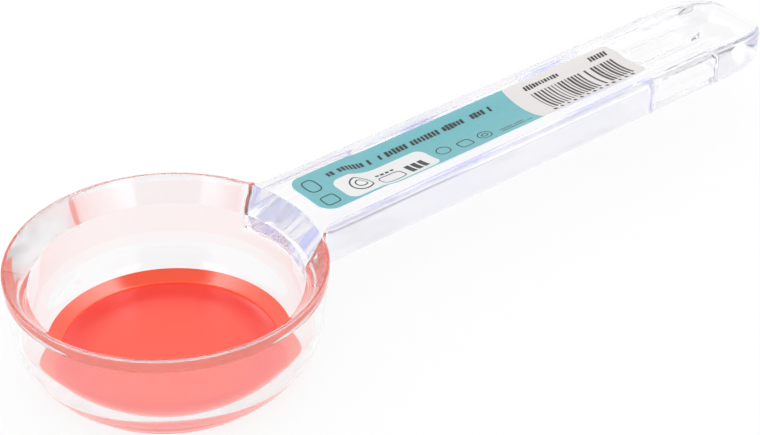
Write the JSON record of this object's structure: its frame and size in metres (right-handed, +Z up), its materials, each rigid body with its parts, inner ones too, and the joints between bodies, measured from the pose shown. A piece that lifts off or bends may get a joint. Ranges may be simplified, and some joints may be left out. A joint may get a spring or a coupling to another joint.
{
  "type": "ice cream scoop",
  "caption": "Clear moulded scoop with a round bowl, a flat handle with a hang slot, a soft base whose floor is pressed up to push the portion out, and a printed label.",
  "frame": {"origin": "on the table under the middle of the overall length", "axes": "+X along the handle from the bowl to the tip, +Z up out of the bowl's mouth"},
  "size_m": [0.1906, 0.064, 0.0232],
  "materials": {
    "clear_plastic": "clear, polished",
    "soft_red": "satin",
    "printed_film": "satin print"
  },
  "bodies": {
    "scoop": {"clear_body": "clear_plastic", "base_ring": "soft_red", "base_web": "soft_red", "label": "printed_film"},
    "push_pad": {"push_pad": "soft_red"}
  },
  "joints": [
    {"name": "pad_push", "type": "slide", "parent": "scoop", "child": "push_pad", "axis": [0, 0, 1], "range_m": [0, 0.006], "stiffness_N_per_m": 600, "deforming": ["base_web"]}
  ]
}
